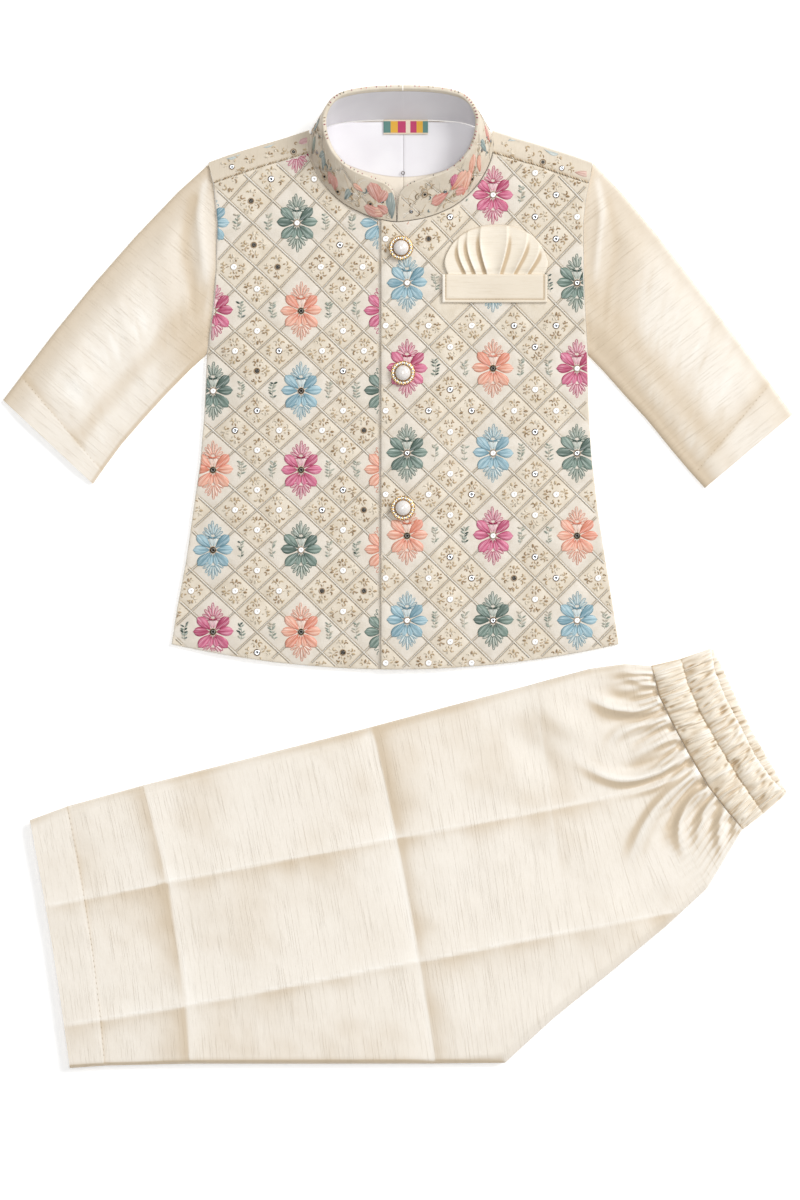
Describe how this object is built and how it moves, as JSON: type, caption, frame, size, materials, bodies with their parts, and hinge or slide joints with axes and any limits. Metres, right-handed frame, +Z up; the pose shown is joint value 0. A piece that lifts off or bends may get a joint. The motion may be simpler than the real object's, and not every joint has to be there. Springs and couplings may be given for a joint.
{
  "type": "kurta set laid flat",
  "caption": "Child's kurta set laid flat: an embroidered stand-collar kurta with plain sleeves and a pocket square, above a folded pajama with a gathered waistband.",
  "frame": {"origin": "on the surface that the set lies on, under the middle of the set's box", "axes": "+X to the right across the garment as seen from above, +Y up the garment from the pajama towards the kurta's collar, +Z up from the surface"},
  "size_m": [0.5688, 0.7063, 0.031],
  "materials": {
    "embroidered_cloth": "beige cloth covered with couched cord trellis and satin-stitch flowers",
    "cream_silk": "cream slub silk with a soft satin sheen",
    "white_lining": "smooth white lining",
    "label_tape": "woven tape in plain blocks of colour",
    "gilt_metal": "polished gilt rim set with clear stones",
    "pearl": "pearl lustre"
  },
  "bodies": {
    "root": {"back_panel": "embroidered_cloth", "front_panel_under": "embroidered_cloth", "front_panel_over": "embroidered_cloth", "collar_left": "embroidered_cloth", "collar_right": "embroidered_cloth", "collar_lining": "white_lining", "neck_lining_left": "white_lining", "neck_lining_right": "white_lining", "neck_label": "label_tape", "sleeve_left": "cream_silk", "sleeve_right": "cream_silk", "pocket_welt": "cream_silk", "pocket_square": "cream_silk", "button_rim_1": "gilt_metal", "button_rim_2": "gilt_metal", "button_rim_3": "gilt_metal", "button_pearl_1": "pearl", "button_pearl_2": "pearl", "button_pearl_3": "pearl", "leg_upper": "cream_silk", "leg_hidden_layers": "cream_silk", "waistband_near": "cream_silk", "waistband_far": "cream_silk"}
  },
  "joints": []
}
